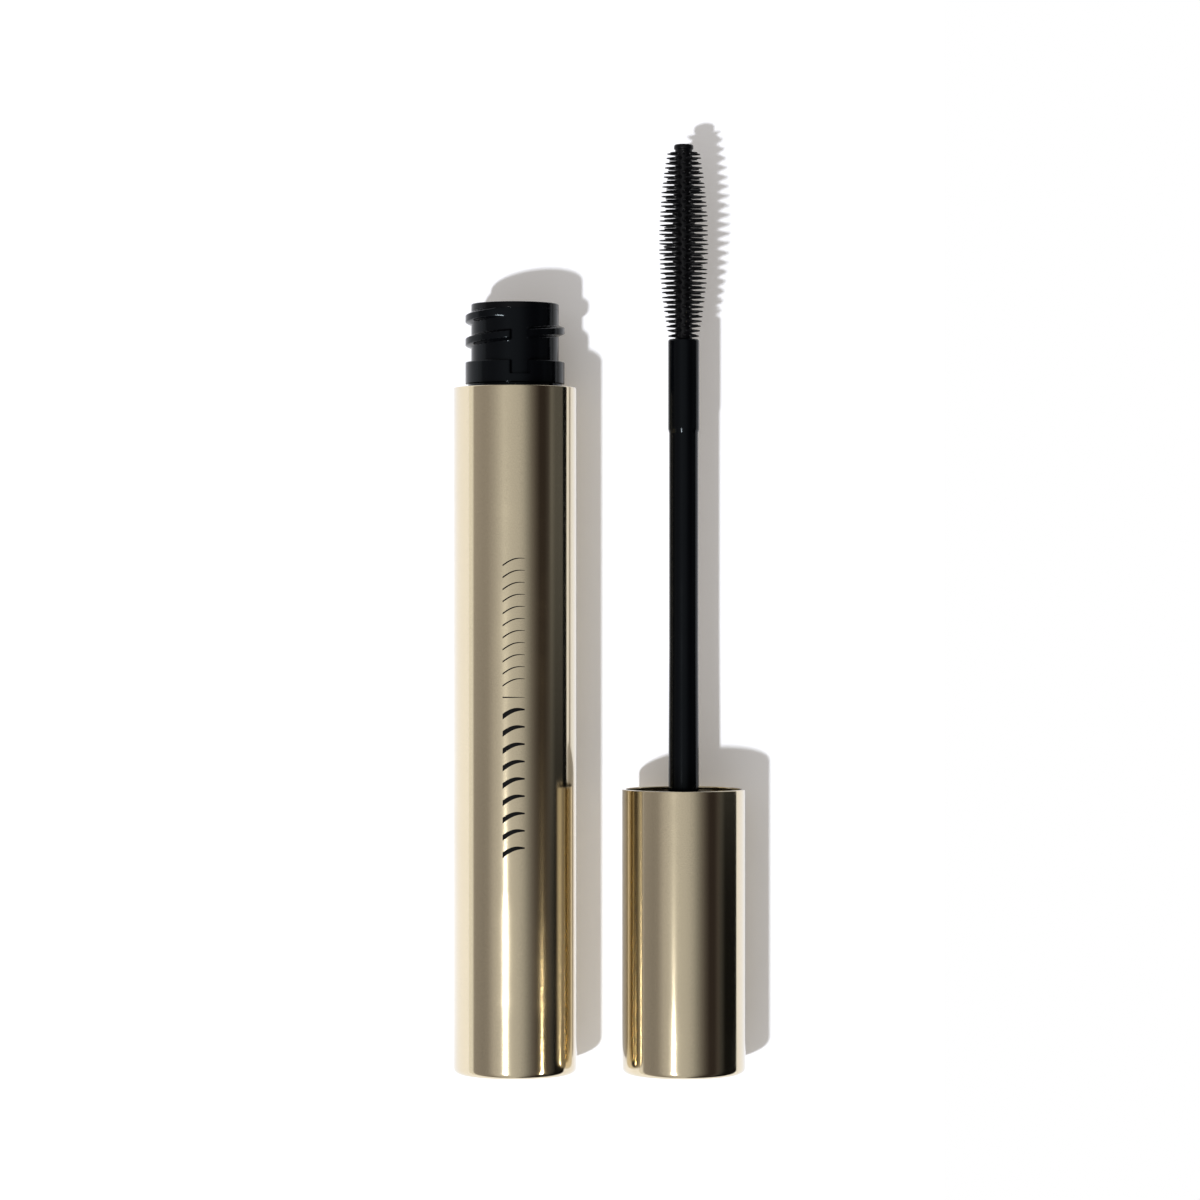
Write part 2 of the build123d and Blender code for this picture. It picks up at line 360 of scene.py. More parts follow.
labelLook = {
    "radius": 5.9, "thickness": 0.1, "edgeRound": 0.03,
    "ringAt": 4.7, "ringWidth": 0.25, "ringProud": 0.015, "ringSunk": 0.01,
}


def makeLabel():
    # a plain disc in the base's recess, with one printed ring
    look = labelLook
    top = shellLook["labelRecess"]
    face = top - look["thickness"]
    corners = [
        (0, face, 0), (look["radius"], face, look["edgeRound"]),
        (look["radius"], top, look["edgeRound"]), (0, top, 0),
    ]
    spun("baseLabel", rounded(corners, steps=3), tubeX, "labelFilm", "bottle", ["base_label"], segments=96)
    inner, outer = (look["ringAt"] + side * look["ringWidth"] / 2 for side in (-1, 1))
    low, high = face - look["ringProud"], face + look["ringSunk"]
    ring = [(inner, low, 0), (outer, low, 0), (outer, high, 0), (inner, high, 0)]
    spun("labelRing", rounded(ring), tubeX, "printBlack", "bottle", [], segments=128)
    print("label made")


neckLook = {
    "rimDrop": 0.25, "grooveRadius": 6.05, "grooveTop": 0.45, "collarRadius": 6.4, "collarTop": 3.3,
    "neckRadius": 5.65, "threadRadius": 6.4, "threadPitch": 3.0, "threadMiddle": 6.6,
    "threadFrom": -180, "threadTo": 352, "footHalf": 0.78, "crestHalf": 0.36, "runOut": 40,
    "slotHalf": 1.1, "slotAt": 7, "slotEdge": 0.1,
    "notchDepth": 1.7, "notchEdge": 0.06, "notchShare": 0.97, "notchSkin": 0.02,
    "boreRadius": 4.5, "vialRadius": 7.3, "vialWall": 1.0, "vialFloor": 1.0, "shoulder": 3.0, "throat": 3.0,
    "vialRound": 0.5, "throatRound": 0.3, "shoulderRound": 0.1, "grooveRound": 0.05,
    "footRound": 0.12, "collarRound": 0.14, "neckRound": 0.03, "mouthRound": 0.1,
    "plainTo": 0.3, "fineFrom": 0.4, "rowStep": 0.06,
}
hair = 0.01  # mm, less than this apart counts as the same surface


def smoothStep(low, high, value):
    share = min(1.0, max(0.0, (value - low) / (high - low)))
    return share * share * (3 - 2 * share)


def stepped(first, last, fine):
    # the outline's points from first up to last, close together where fine
    pieces = max(1, int(abs(last[1] - first[1]) / neckLook["rowStep"])) if fine else 1
    return [tuple(a + (b - a) * n / pieces for a, b in zip(first, last)) for n in range(pieces)]


def ridgeAt(angle, y, frontY, first, last):
    # how much of a thread's height stands at this place, 0 to 1; frontY is the ridge's middle at the front
    look = neckLook
    best = 0.0
    for turn in (-1, 0, 1):
        spot = math.degrees(angle) + 360 * turn
        if not first <= spot <= last:
            continue
        away = abs(y - (frontY + look["threadPitch"] * spot / 360))
        height = 1 - smoothStep(look["crestHalf"], look["footHalf"], away)
        height *= smoothStep(0, look["runOut"], last - spot)
        height *= smoothStep(0, look["runOut"] / 4, spot - first)
        best = max(best, height)
    return best


def slotAcross(angle):
    # 1 inside the front and back slots, 0 outside
    half, edge = neckLook["slotHalf"], neckLook["slotEdge"]
    best = 0.0
    for middle in (neckLook["slotAt"], neckLook["slotAt"] + 180):
        turn = (math.degrees(angle) - middle + 180) % 360 - 180
        across = abs(math.radians(turn)) * neckLook["neckRadius"]
        best = max(best, 1 - smoothStep(half - edge, half + edge, across))
    return best


def makeBottle():
    look = neckLook
    rim = tubeLength
    neckTop = bottleHigh[1] / mm
    shoulder = rim - look["rimDrop"]
    collarTop = rim + look["collarTop"]
    bore = tubeRadius - shellLook["wall"]
    inside = look["vialRadius"] - look["vialWall"]
    vialFrom = bottleLow[1] / mm
    throat = rim - look["shoulder"] + look["vialWall"]
    groove = rim + look["grooveTop"]
    floor = vialFrom + look["vialFloor"]
    corners = [
        (0, vialFrom, 0), (look["vialRadius"], vialFrom, look["vialRound"]),
        (look["vialRadius"], rim - look["shoulder"], 0), (bore, rim - look["shoulder"], 0),
        (bore, shoulder, look["shoulderRound"]),
        (look["grooveRadius"], shoulder, look["grooveRound"]),
        (look["grooveRadius"], groove, look["grooveRound"]),
        (look["collarRadius"], groove, look["footRound"]),
        (look["collarRadius"], collarTop, look["collarRound"]),
        (look["neckRadius"], collarTop, look["footRound"]), (look["neckRadius"], neckTop, look["neckRound"]),
        (look["boreRadius"], neckTop, look["mouthRound"]), (look["boreRadius"], throat, look["throatRound"]),
        (inside, throat - look["throat"], look["throatRound"]), (inside, floor, look["vialRound"]),
        (0, floor, 0),
    ]
    outline = []
    plain = rounded(corners, steps=4)
    for (r0, y0), (r1, y1) in zip(plain, plain[1:] + plain[:1]):
        outside = min(y0, y1) > rim + look["fineFrom"] and min(r0, r1) > look["neckRadius"] - hair
        outline += stepped((r0, y0), (r1, y1), outside)

    def radiusAt(angle, y, r):
        if y < rim + look["plainTo"] or r < look["neckRadius"] - hair:
            return r
        slot = slotAcross(angle)
        if r > look["neckRadius"] + hair:
            notch = collarTop - look["notchDepth"]
            cutOut = slot * smoothStep(notch - look["notchEdge"], notch + look["notchEdge"], y)
            return r - (r - look["neckRadius"] - look["notchSkin"]) * cutOut * look["notchShare"]
        ridge = ridgeAt(angle, y, rim + look["threadMiddle"], look["threadFrom"], look["threadTo"])
        return r + (look["threadRadius"] - look["neckRadius"]) * ridge * (1 - slot)

    spun("innerBottle", outline, tubeX, "glossBlack", "bottle", ["inner_bottle"], 300, radiusAt)
    print("bottle and neck thread made")


capLook = {
    "guide": 1.2, "bossRadius": 4.5, "ceiling": 1.5, "skirtRadius": 6.6, "crestRadius": 5.85,
    "threadDrop": 8.95, "threadTurns": 1.46, "threadFloor": 0.3, "threadMouth": 0.2,
    "roofGap": 0.05, "headGap": 0.02, "shellGap": 0.01,
    "edgeRound": 0.1, "bossRound": 0.3, "mouthRound": 0.15, "skirtRound": 0.2,
}


def makeInnerCap():
    # the plastic cap inside the metal one: a disc and a boss for the rod, and a threaded skirt
    look = capLook
    low, high = (corner[1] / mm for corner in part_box("inner_cap"))
    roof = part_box("seal_washer")[0][1] / mm - look["roofGap"]
    ceiling = roof - look["ceiling"]
    seat = rodLow[1] / mm
    outer = tubeRadius - shellLook["wall"] - look["shellGap"]
    head, hole = rodLook["headRadius"] + look["headGap"], rodLook["boreRadius"]
    skirt, boss, guide = look["skirtRadius"], look["bossRadius"], low + look["guide"]
    corners = [
        (hole, low, 0), (outer, low, look["edgeRound"]), (outer, guide, look["edgeRound"]),
        (boss, guide, look["bossRound"]), (boss, ceiling, look["bossRound"]),
        (outer, ceiling, look["edgeRound"]), (outer, high, look["mouthRound"]),
        (skirt, high, look["skirtRound"]), (skirt, roof, look["skirtRound"]),
        (head, roof, look["edgeRound"]), (head, seat, 0), (hole, seat, 0),
    ]
    plain = rounded(corners, steps=4)
    outline = []
    for here, there in zip(plain, plain[1:] + plain[:1]):
        inside = abs(here[0] - skirt) < 2 * hair and abs(there[0] - skirt) < 2 * hair
        outline += stepped(here, there, inside)
    turns = look["threadTurns"] * 360
    frontY = high - look["threadDrop"]

    def radiusAt(angle, y, r):
        threaded = roof + look["threadFloor"] <= y <= high - look["threadMouth"]
        if abs(r - skirt) > 2 * hair or not threaded:
            return r
        return r - (skirt - look["crestRadius"]) * ridgeAt(angle, y, frontY, 0, turns)

    spun("innerCap", outline, wandX, "glossBlack", "wand", ["inner_cap"], 240, radiusAt)
    print("inner cap made")


wiperLook = {
    "flange": 0.8, "wall": 0.6, "barrel": 6.5, "barrelGap": 0.01, "cone": 5.0, "lip": 0.9, "lipRadius": 2.05,
    "mouthRound": 0.35, "flangeRound": 0.18, "flangeFoot": 0.03, "barrelFoot": 0.05,
    "coneOutside": 0.3, "coneInside": 0.4, "lipRound": 0.2, "lipEdge": 0.1,
}


def makeWiper():
    look = wiperLook
    top = wiperHigh[1] / mm
    flangeRadius = wiperHigh[0] / mm
    neckTop = top - look["flange"]
    barrel = neckLook["boreRadius"] - look["barrelGap"]
    coneTop = neckTop - look["barrel"]
    coneEnd = coneTop - look["cone"]
    lipEnd = coneEnd - look["lip"]
    lip, lipOutside, inside = look["lipRadius"], look["lipRadius"] + look["wall"], barrel - look["wall"]
    corners = [
        (inside, top, look["mouthRound"]), (flangeRadius, top, look["flangeRound"]),
        (flangeRadius, neckTop, look["flangeFoot"]), (barrel, neckTop, look["barrelFoot"]),
        (barrel, coneTop, look["coneOutside"]), (lipOutside, coneEnd, look["lipRound"]),
        (lipOutside, lipEnd, look["lipRound"]), (lip, lipEnd, look["lipEdge"]),
        (lip, coneEnd, look["lipRound"]), (inside, coneTop, look["coneInside"]),
    ]
    spun("wiperInsert", rounded(corners), tubeX, "wiperRubber", "bottle", ["wiper"], segments=160)
    print("wiper made")


rodLook = {
    "stemRadius": 1.875, "rootRadius": 1.975, "rootLength": 18.0, "rootBlend": 3.0, "stemBlend": 6.0,
    "ferruleRadius": 2.0, "ferruleLength": 11.6, "ferruleRound": 0.65, "ferruleRamp": 0.5, "rampRound": 0.4,
    "socketRadius": 1.3, "socketDepth": 8.0, "boreRadius": 0.75,
    "headRadius": 3.0, "headLength": 8.6, "headRound": 0.3, "neckRound": 0.2,
}


def makeRod():
    look = rodLook
    low, high = rodLow[1] / mm, rodHigh[1] / mm
    headEnd = low + look["headLength"]
    ferrule = high - look["ferruleLength"]
    socket = high - look["socketDepth"]
    corners = [
        (look["boreRadius"], low, 0), (look["headRadius"], low, look["headRound"]),
        (look["headRadius"], headEnd, look["neckRound"]), (look["rootRadius"], headEnd, look["neckRound"]),
        (look["rootRadius"], capLength, look["rootBlend"]),
        (look["stemRadius"], capLength + look["rootLength"], look["stemBlend"]),
        (look["stemRadius"], ferrule - look["ferruleRamp"], look["rampRound"]),
        (look["ferruleRadius"], ferrule, look["rampRound"]),
        (look["ferruleRadius"], high, look["ferruleRound"]),
        (look["socketRadius"], high, 0), (look["socketRadius"], socket, 0), (look["boreRadius"], socket, 0),
    ]
    spun("rodStem", rounded(corners, steps=8), wandX, "glossBlack", "wand", ["rod"], segments=96)
    print("rod made")


brushLook = {
    "coreRadius": 1.1, "discRadius": 1.25, "discLength": 0.6, "discRound": 0.1, "tipRound": 0.36,
    "plugLength": 6.0, "plugGap": 0.02, "plugRound": 0.2, "seatGap": 0.02, "collar": 0.1, "collarRound": 0.05,
    "rowPitch": 0.617, "firstRow": 0.45, "perRow": 7, "rootRadius": 0.24,
    "rodReach": 1.95, "middleReach": 3.28, "tipReach": 2.1, "swellPower": 0.8, "footSunk": 0.06,
    "unevenness": 0.022, "turnSpread": 1.2, "lengthSpread": 1.6, "leanSpread": 1.5, "seed": 4,
    "tineSides": 7,
    "tineWidths": [(0.0, 1.35), (0.06, 1.0), (0.3, 0.83), (0.62, 0.62), (0.88, 0.4), (0.98, 0.26)],
}


def looseShape(name, form):
    # a bmesh turned into an object, for a tree to copy
    mesh = bpy.data.meshes.new(name)
    form.to_mesh(mesh)
    form.free()
    shape = bpy.data.objects.new(name, mesh)
    bpy.context.scene.collection.objects.link(shape)
    return shape


def makeTineShape():
    # one tine along +Z from 0 to 1, swelling at its foot and blunt at its point
    form = bmesh.new()
    sides = brushLook["tineSides"]
    turns = [2 * math.pi * n / sides for n in range(sides)]
    rings = []
    for height, width in brushLook["tineWidths"]:
        ring = [(width * math.cos(turn), width * math.sin(turn), height) for turn in turns]
        rings.append([form.verts.new(spot) for spot in ring])
    for one, two in zip(rings, rings[1:]):
        for n in range(sides):
            form.faces.new((one[n], one[(n + 1) % sides], two[(n + 1) % sides], two[n]))
    point = form.verts.new((0, 0, 1.0))
    for n in range(sides):
        form.faces.new((rings[-1][n], rings[-1][(n + 1) % sides], point))
    form.faces.new(list(reversed(rings[0])))
    shape = looseShape("tineShape", form)
    shape.data.shade_smooth()
    return shape


def startTree(name, sockets):
    # a Geometry Nodes tree, its inputs' identifiers by label, its inputs and its output node
    tree = bpy.data.node_groups.new(name, "GeometryNodeTree")
    names = {}
    for label, kind, value in sockets:
        socket = tree.interface.new_socket(name=label, in_out="INPUT", socket_type="NodeSocket" + kind)
        if value is not None:
            socket.default_value = value
        names[label] = socket.identifier
    tree.interface.new_socket(name="Geometry", in_out="OUTPUT", socket_type="NodeSocketGeometry")
    return tree, names, tree.nodes.new("NodeGroupInput").outputs, tree.nodes.new("NodeGroupOutput")


def combined(tree, x, y, z):
    node = tree.nodes.new("ShaderNodeCombineXYZ")
    for slot, value in enumerate((x, y, z)):
        if value is not None:
            tree.links.new(value, node.inputs[slot])
    return node.outputs[0]


def moved(tree, geometry, position):
    put = tree.nodes.new("GeometryNodeSetPosition")
    tree.links.new(geometry, put.inputs["Geometry"])
    tree.links.new(position, put.inputs["Position"])
    return put.outputs[0]


def copiesOn(tree, points, shape, rotation=None, scale=None):
    # the shape at every point, as real geometry
    source = tree.nodes.new("GeometryNodeObjectInfo")
    tree.links.new(shape, source.inputs[0])
    copies = tree.nodes.new("GeometryNodeInstanceOnPoints")
    given = {"Points": points, "Instance": source.outputs["Geometry"], "Rotation": rotation, "Scale": scale}
    for label, value in given.items():
        if value is not None:
            tree.links.new(value, copies.inputs[label])
    real = tree.nodes.new("GeometryNodeRealizeInstances")
    tree.links.new(copies.outputs[0], real.inputs[0])
    return real.outputs[0]


def endTree(tree, geometry, finish, result):
    coat = tree.nodes.new("GeometryNodeSetMaterial")
    tree.links.new(geometry, coat.inputs["Geometry"])
    tree.links.new(finish, coat.inputs["Material"])
    tree.links.new(coat.outputs[0], result.inputs[0])


def tineTree():
    # rows of tines round the core, every second row turned by half a step, reach following the brush's swell
    tree, names, take, result = startTree("brushTines", [
        ("Rows", "Int", 38), ("Per Row", "Int", 7), ("Row Pitch", "Float", 0.0006),
        ("First Row", "Float", 0.1), ("Axis X", "Float", 0.0), ("Core Radius", "Float", 0.001),
        ("Root Radius", "Float", 0.0002), ("Start Reach", "Float", 0.002), ("Middle Reach", "Float", 0.003),
        ("End Reach", "Float", 0.002), ("Unevenness", "Float", 0.05), ("Seed", "Int", 0),
        ("Tine", "Object", None), ("Finish", "Material", None),
    ])
    look = brushLook

    def work(operation, first, second=None):
        return mathNode(tree, operation, first, second)

    def randomValue(low, high, shift):
        node = tree.nodes.new("FunctionNodeRandomValue")
        node.data_type = "FLOAT"
        node.inputs[2].default_value = low
        node.inputs[3].default_value = high
        tree.links.new(work("ADD", take["Seed"], shift), node.inputs["Seed"])
        return work("MULTIPLY", node.outputs[1], take["Unevenness"])

    line = tree.nodes.new("GeometryNodeMeshLine")
    tree.links.new(work("MULTIPLY", take["Rows"], take["Per Row"]), line.inputs["Count"])
    index = tree.nodes.new("GeometryNodeInputIndex").outputs[0]
    row = work("FLOOR", work("DIVIDE", work("ADD", index, 0.5), take["Per Row"]))
    column = work("SUBTRACT", index, work("MULTIPLY", row, take["Per Row"]))
    offset = work("MULTIPLY", work("MODULO", row, 2.0), 0.5)
    share = work("DIVIDE", work("ADD", column, offset), take["Per Row"])
    angle = work("MULTIPLY", share, 2 * math.pi)
    angle = work("ADD", angle, randomValue(-look["turnSpread"], look["turnSpread"], 1))
    along = work("DIVIDE", work("ADD", row, 0.5), take["Rows"])
    slope = work("MULTIPLY", work("SUBTRACT", take["End Reach"], take["Start Reach"]), along)
    ends = work("ADD", take["Start Reach"], slope)
    mean = work("MULTIPLY", work("ADD", take["Start Reach"], take["End Reach"]), 0.5)
    swell = work("POWER", work("SINE", work("MULTIPLY", along, math.pi)), look["swellPower"])
    reach = work("ADD", ends, work("MULTIPLY", work("SUBTRACT", take["Middle Reach"], mean), swell))
    length = work("SUBTRACT", reach, take["Core Radius"])
    length = work("MULTIPLY", length, work("SUBTRACT", 1.0, randomValue(0.0, look["lengthSpread"], 2)))
    foot = work("MULTIPLY", take["Core Radius"], 1 - look["footSunk"])
    length = work("ADD", length, work("MULTIPLY", take["Core Radius"], look["footSunk"]))
    sine, cosine = work("SINE", angle), work("COSINE", angle)
    placeX = work("ADD", take["Axis X"], work("MULTIPLY", foot, sine))
    placeY = work("ADD", take["First Row"], work("MULTIPLY", row, take["Row Pitch"]))
    place = combined(tree, placeX, placeY, work("MULTIPLY", foot, cosine))
    aim = tree.nodes.new("FunctionNodeAlignRotationToVector")
    aim.axis = "Z"
    lean = randomValue(-look["leanSpread"], look["leanSpread"], 3)
    tree.links.new(combined(tree, sine, lean, cosine), aim.inputs["Vector"])
    size = combined(tree, take["Root Radius"], take["Root Radius"], length)
    points = moved(tree, line.outputs[0], place)
    tines = copiesOn(tree, points, take["Tine"], rotation=aim.outputs[0], scale=size)
    endTree(tree, tines, take["Finish"], result)
    return tree, names


def bakeTree(name, tree, names, values, material):
    # runs a tree on an empty mesh and keeps the result as a plain mesh
    holder = bpy.data.objects.new(name + "Holder", bpy.data.meshes.new(name + "Holder"))
    bpy.context.scene.collection.objects.link(holder)
    modifier = holder.modifiers.new("grow", "NODES")
    modifier.node_group = tree
    for label, value in values.items():
        modifier[names[label]] = value
    modifier[names["Finish"]] = materials[material]
    graph = bpy.context.evaluated_depsgraph_get()
    mesh = bpy.data.meshes.new_from_object(holder.evaluated_get(graph))
    mesh.name = name
    holder.modifiers.remove(modifier)
    bpy.data.objects.remove(holder)
    return finishMesh(name, mesh, material, sharpAngle=50)


def makeBrush():
    look = brushLook
    low, high = rodHigh[1] / mm, brushHigh[1] / mm
    disc = high - look["discLength"]
    plug = rodLook["socketRadius"] - look["plugGap"]
    corners = [
        (0, low - look["plugLength"], 0), (plug, low - look["plugLength"], look["plugRound"]),
        (plug, low + look["seatGap"], look["collarRound"]),
        (look["coreRadius"], low + look["collar"], look["collarRound"]),
        (look["coreRadius"], disc - look["collar"], look["discRound"]),
        (look["discRadius"], disc, look["discRound"]), (look["discRadius"], high, look["tipRound"]),
        (0, high, 0),
    ]
    spun("brushCore", rounded(corners), wandX, "satinBlack", "wand", ["brush_core"], segments=64)
    rows = int((disc - low - look["firstRow"]) / look["rowPitch"]) + 1
    tree, names = tineTree()
    shape = makeTineShape()
    tines = bakeTree("brushTines", tree, names, {
        "Rows": rows, "Per Row": look["perRow"], "Row Pitch": look["rowPitch"] * mm,
        "First Row": (low + look["firstRow"]) * mm, "Axis X": wandX, "Core Radius": look["coreRadius"] * mm,
        "Root Radius": look["rootRadius"] * mm, "Start Reach": look["rodReach"] * mm,
        "Middle Reach": look["middleReach"] * mm, "End Reach": look["tipReach"] * mm,
        "Unevenness": look["unevenness"], "Seed": look["seed"], "Tine": shape,
    }, "tineRubber")
    bpy.data.objects.remove(shape)
    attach(tines, "wand")
    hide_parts("brush_tines")
    print("brush made, tine triangles:", sum(len(face.vertices) - 2 for face in tines.data.polygons))


printLook = {
    "lift": 0.02, "inkDepth": 0.015, "halfWidth": 1.42, "taper": 0.75, "taperPower": 1.6, "steps": 14,
    "strokes": {
        "bold": {"from": 29.0, "to": 46.6, "count": 9, "thick": 0.72, "lean": 0.9, "bow": 0.35},
        "fine": {"from": 50.5, "to": 65.8, "count": 11, "thick": 0.21, "lean": 0.9, "bow": 0.35},
        "bar": {"from": 48.6, "to": 48.6, "count": 1, "thick": 0.16, "lean": 0.0, "bow": 0.0},
    },
}


def makeStroke(name, look):
    # one lash-like stroke lying across the line: thick at its foot, pointed at its end, bowed
    form = bmesh.new()
    steps, depth = printLook["steps"], printLook["inkDepth"] * mm
    loops = []
    for step in range(steps + 1):
        share = step / steps
        x = (2 * share - 1) * printLook["halfWidth"]
        y = look["lean"] * (share - 0.5) + look["bow"] * math.sin(math.pi * share)
        half = look["thick"] / 2 * (1 - printLook["taper"] * share ** printLook["taperPower"])
        loops.append([form.verts.new((x * mm, (y + side * half) * mm, z))
                      for side, z in ((-1, 0), (1, 0), (1, -depth), (-1, -depth))])
    for one, two in zip(loops, loops[1:]):
        for corner in range(4):
            after = (corner + 1) % 4
            form.faces.new((one[corner], two[corner], two[after], one[after]))
    form.faces.new(loops[0])
    form.faces.new(loops[-1])
    bmesh.ops.recalc_face_normals(form, faces=form.faces)
    return looseShape(name, form)


def printTree():
    # a row of flat strokes along +Y, wrapped round the tube
    tree, names, take, result = startTree("printedStrokes", [
        ("Count", "Int", 9), ("First", "Float", 0.03), ("Pitch", "Float", 0.002), ("Radius", "Float", 0.008),
        ("Stroke", "Object", None), ("Finish", "Material", None),
    ])
    line = tree.nodes.new("GeometryNodeMeshLine")
    tree.links.new(take["Count"], line.inputs["Count"])
    index = tree.nodes.new("GeometryNodeInputIndex").outputs[0]
    place = mathNode(tree, "ADD", take["First"], mathNode(tree, "MULTIPLY", index, take["Pitch"]))
    points = moved(tree, line.outputs[0], combined(tree, None, place, None))
    strokes = copiesOn(tree, points, take["Stroke"])
    flat = tree.nodes.new("ShaderNodeSeparateXYZ")
    tree.links.new(tree.nodes.new("GeometryNodeInputPosition").outputs[0], flat.inputs[0])
    turn = mathNode(tree, "DIVIDE", flat.outputs[0], take["Radius"])
    level = mathNode(tree, "ADD", take["Radius"], flat.outputs[2])
    x, z = (mathNode(tree, "MULTIPLY", mathNode(tree, part, turn), level) for part in ("SINE", "COSINE"))
    wrapped = moved(tree, strokes, combined(tree, x, flat.outputs[1], z))
    endTree(tree, wrapped, take["Finish"], result)
    return tree, names


def makePrint():
    # ornament down the tube's front: bold strokes, fine strokes and a thin bar between them
    tree, names = printTree()
    for name, look in printLook["strokes"].items():
        shape = makeStroke(name + "Stroke", look)
        pitch = (look["to"] - look["from"]) / max(1, look["count"] - 1)
        strokes = bakeTree(name + "Print", tree, names, {
            "Count": look["count"], "First": look["from"] * mm, "Pitch": pitch * mm,
            "Radius": (tubeRadius + printLook["lift"]) * mm, "Stroke": shape,
        }, "printBlack")
        bpy.data.objects.remove(shape)
        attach(strokes, "bottle")
    print("ornament made")


def dressCadNodes():
    # hidden or plain pieces keep their CAD shape and get a finish
    for node, finish in (
        ("base_pad", "foamGrey"), ("mascara_formula", "mascaraPaste"), ("cap_weight", "turnedSteel"),
        ("seal_washer", "foamGrey"), ("core_wire", "turnedSteel"),
    ):
        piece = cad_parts[node]
        for slot in piece.material_slots:
            slot.material = materials[finish]
    print("inner pieces dressed")


makeShells()
makeLabel()
makeBottle()
makeWiper()
makeRod()
makeInnerCap()
makeBrush()
makePrint()
dressCadNodes()


stageLook = {
    "floorColor": (0.82, 0.85, 0.92), "floorGlow": (0.21, 0.187, 0.155),
    "floorRoughness": 0.9, "floorSpecular": 0.1,
    "floorHalf": 3.0, "floorLeft": -0.2, "floorRight": 0.056, "floorGap": 0.00002,
    "cameraHeight": 0.503, "lens": 117.0, "aimX": 0.01096, "aimY": 0.06096,
}


def makeStage():
    look = stageLook
    z = cadBox[0][2] - look["floorGap"]
    mesh = bpy.data.meshes.new("floor")
    half, left, right = look["floorHalf"], look["floorLeft"], look["floorRight"]
    corners = [(left, -half, z), (right, -half, z), (right, half, z), (left, half, z)]
    mesh.from_pydata(corners, [], [(0, 1, 2, 3)])
    floor = bpy.data.objects.new("floor", mesh)
    bpy.context.scene.collection.objects.link(floor)
    material = bpy.data.materials.new("floorWhite")
    material.use_nodes = True
    shader = material.node_tree.nodes["Principled BSDF"]
    shader.inputs["Base Color"].default_value = (*look["floorColor"], 1)
    shader.inputs["Roughness"].default_value = look["floorRoughness"]
    shader.inputs["Specular IOR Level"].default_value = look["floorSpecular"]
    shader.inputs["Emission Color"].default_value = (*look["floorGlow"], 1)
    shader.inputs["Emission Strength"].default_value = 1.0
    mesh.materials.append(material)


# the studio round the object: angle from overhead towards +X in degrees, brightness at the far and
# near end of the table, and how warm it is
roomBands = [
    (-180, 1.0, 1.0, 0.0), (-84, 1.0, 1.0, 0.0), (-81, 0.42, 0.34, 0.2), (-60, 0.36, 0.29, 0.2),
    (-50, 0.37, 0.32, 0.2), (-38, 0.46, 0.54, 0.1), (-20, 0.67, 0.66, 0.0), (2, 0.60, 0.59, 0.0),
    (9, 0.57, 0.54, 0.0), (17, 0.47, 0.43, 0.0), (24, 0.32, 0.29, 0.0), (32, 0.18, 0.17, 0.2),
    (40, 0.09, 0.085, 0.4), (48, 0.03, 0.035, 0.8), (58, 0.03, 0.035, 0.8), (66, 0.06, 0.075, 0.4),
    (73, 0.17, 0.05, 0.0), (82, 0.11, 0.007, 0.0), (150, 0.11, 0.007, 0.0), (180, 0.80, 0.80, 0.0),
]
roomLook = {"farAt": 0.02, "nearAt": -0.07, "warmGreen": 0.25, "warmBlue": 0.3}


def makeRoom():
    world = bpy.data.worlds.new("studio")
    world.use_nodes = True
    bpy.context.scene.world = world
    tree = world.node_tree
    background = tree.nodes["Background"]
    direction = addNode(tree, "ShaderNodeTexCoord")
    parts = addNode(tree, "ShaderNodeSeparateXYZ")
    tree.links.new(direction.outputs["Generated"], parts.inputs[0])
    angle = mathNode(tree, "ARCTAN2", parts.outputs[0], parts.outputs[2])
    share = mathNode(tree, "ADD", mathNode(tree, "DIVIDE", angle, 2 * math.pi), 0.5)
    ends = []
    for column in (1, 2):
        ramp = addNode(tree, "ShaderNodeValToRGB")
        tree.links.new(share, ramp.inputs[0])
        stops = ramp.color_ramp.elements
        stops.remove(stops[1])
        for position, band in enumerate(roomBands):
            place = band[0] / 360 + 0.5
            value, warmth = band[column], band[3]
            stop = stops[0] if position == 0 else stops.new(place)
            stop.position = place
            green, blue = (value * (1 - roomLook[part] * warmth) for part in ("warmGreen", "warmBlue"))
            stop.color = (value, green, blue, 1)
        ends.append(ramp.outputs[0])
    nearness = addNode(tree, "ShaderNodeMapRange")
    tree.links.new(parts.outputs[1], nearness.inputs["Value"])
    nearness.inputs["From Min"].default_value = roomLook["farAt"]
    nearness.inputs["From Max"].default_value = roomLook["nearAt"]
    room = mixColor(tree, nearness.outputs[0], ends[0], ends[1])
    seen = addNode(tree, "ShaderNodeLightPath")
    shown = mixColor(tree, seen.outputs["Is Camera Ray"], room, (1, 1, 1, 1))
    tree.links.new(shown, background.inputs["Color"])


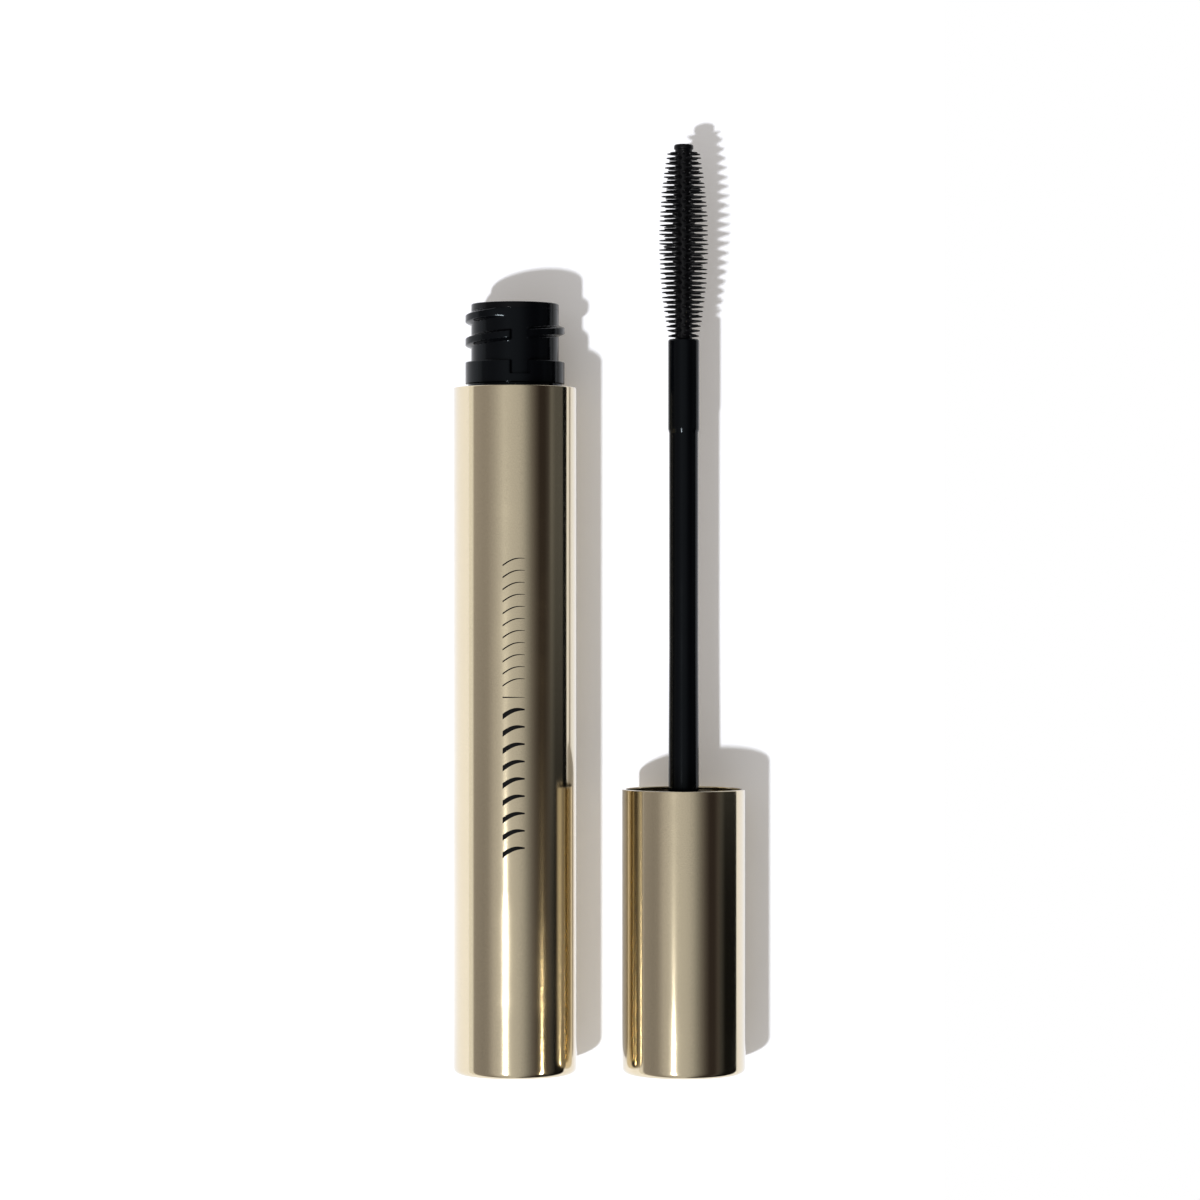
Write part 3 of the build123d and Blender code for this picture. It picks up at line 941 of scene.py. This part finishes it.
# slopes are how far a light stands over towards +X and +Y for each metre up; lit or unlit names the pieces it
# is kept to or kept off
lightLook = {
    "shadowKey": {"slopeX": -0.345, "slopeY": -0.35, "width": 0.04, "length": 0.04, "watts": 8.5,
                  "color": (1, 1, 1), "lit": ["floor"]},
    "keyStrip": {"slopeX": -0.305, "slopeY": -0.38, "width": 0.03, "length": 0.42, "watts": 8.5,
                 "color": (1, 1, 1), "unlit": ["capShell", "floor"]},
    "capStrip": {"slopeX": -0.345, "slopeY": -0.44, "width": 0.08, "length": 0.42, "watts": 3.8,
                 "color": (1, 1, 1), "lit": ["capShell"]},
    "accentStrip": {"slopeX": 1.29, "slopeY": -0.58, "width": 0.06, "length": 0.30, "watts": 2.9,
                    "color": (1, 0.86, 0.6), "lit": ["tubeShell"]},
}


def makeLights():
    target = Vector((stageLook["aimX"], stageLook["aimY"], 0))
    for name, look in lightLook.items():
        data = bpy.data.lights.new(name, "AREA")
        data.shape = "RECTANGLE"
        data.size, data.size_y = look["width"], look["length"]
        data.energy = look["watts"]
        data.color = look["color"]
        light = bpy.data.objects.new(name, data)
        bpy.context.scene.collection.objects.link(light)
        away = Vector((look["slopeX"], look["slopeY"], 1)).normalized()
        side = Vector((0, 1, 0)).cross(away).normalized()
        along = away.cross(side)
        light.matrix_world = Matrix((side, along, away)).transposed().to_4x4()
        light.location = target + away
        receivers = bpy.data.collections.new(name + "Receivers")
        for piece in look.get("lit", []) + look.get("unlit", []):
            receivers.objects.link(bpy.data.objects[piece])
        for entry in receivers.collection_objects:
            entry.light_linking.link_state = "INCLUDE" if "lit" in look else "EXCLUDE"
        light.light_linking.receiver_collection = receivers


def makeCamera():
    data = bpy.data.cameras.new("overhead")
    data.lens = stageLook["lens"]
    data.sensor_width = 36.0
    camera = bpy.data.objects.new("overhead", data)
    bpy.context.scene.collection.objects.link(camera)
    camera.location = (stageLook["aimX"], stageLook["aimY"], stageLook["cameraHeight"])
    bpy.context.scene.camera = camera


makeStage()
makeRoom()
makeLights()
makeCamera()
bpy.context.scene.view_settings.view_transform = "Standard"
print("stage, lights and camera placed")
